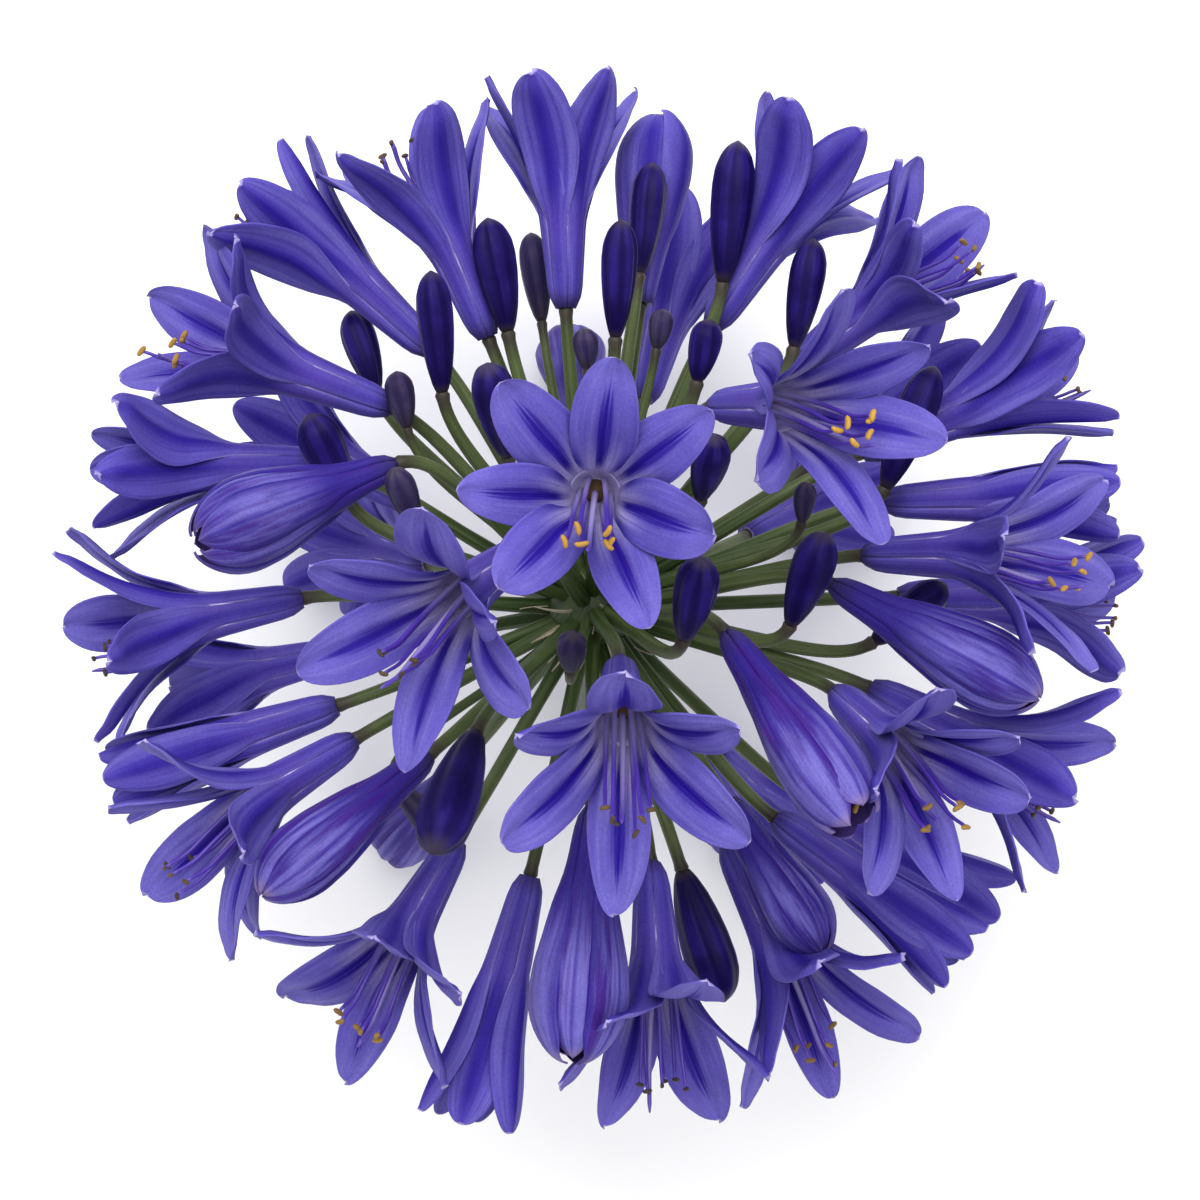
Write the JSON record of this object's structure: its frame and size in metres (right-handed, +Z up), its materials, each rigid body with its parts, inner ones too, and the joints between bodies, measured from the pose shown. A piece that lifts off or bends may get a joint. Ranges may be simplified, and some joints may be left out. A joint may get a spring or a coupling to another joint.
{
  "type": "agapanthus flower head",
  "caption": "Cut flower head of an agapanthus: violet-blue funnel flowers and buds on green stalks in a ball, lying on its lower flowers and its scape.",
  "frame": {"origin": "middle of the head's bounding box, on the surface that the head lies on", "axes": "+Z up from the surface, +Y towards the upper edge of the head as the picture shows it, +X towards its right edge"},
  "size_m": [0.1982, 0.1929, 0.1841],
  "materials": {
    "petal": "soft violet-blue petal, satin, with a dark middle stripe and a pale throat",
    "spent_petal": "folded or fading petal, deeper violet, wrinkled, satin",
    "bud": "smooth dark indigo bud, satin",
    "stalk": "smooth olive green stem, satin"
  },
  "bodies": {
    "root": {"bloom_01": "petal", "bloom_02": "petal", "bloom_03": "petal", "bloom_04": "petal", "bloom_05": "petal", "bloom_06": "petal", "bloom_07": "petal", "bloom_08": "petal", "bloom_09": "petal", "bloom_10": "petal", "bloom_11": "petal", "bloom_12": "petal", "bloom_13": "petal", "bloom_14": "petal", "bloom_15": "petal", "bloom_16": "petal", "bloom_17": "petal", "bloom_18": "petal", "bloom_19": "petal", "bloom_20": "petal", "bloom_21": "petal", "bloom_22": "petal", "bloom_23": "petal", "bloom_24": "petal", "bloom_25": "petal", "bloom_26": "petal", "bloom_27": "petal", "bloom_28": "petal", "bloom_29": "petal", "bloom_30": "petal", "bud_01": "bud", "bud_02": "bud", "bud_03": "bud", "bud_04": "bud", "bud_05": "bud", "bud_06": "bud", "bud_07": "bud", "bud_08": "bud", "bud_09": "bud", "bud_10": "bud", "bud_11": "bud", "bud_12": "bud", "bud_13": "bud", "bud_14": "bud", "bud_15": "bud", "bud_16": "bud", "bud_17": "bud", "closed_01": "spent_petal", "closed_02": "spent_petal", "closed_03": "spent_petal", "closed_04": "spent_petal", "closed_05": "spent_petal", "closed_06": "spent_petal", "closed_07": "spent_petal", "rest_01": "petal", "rest_02": "petal", "rest_03": "petal", "rest_04": "spent_petal", "rest_05": "spent_petal", "stalks_and_scape": "stalk"}
  },
  "joints": []
}
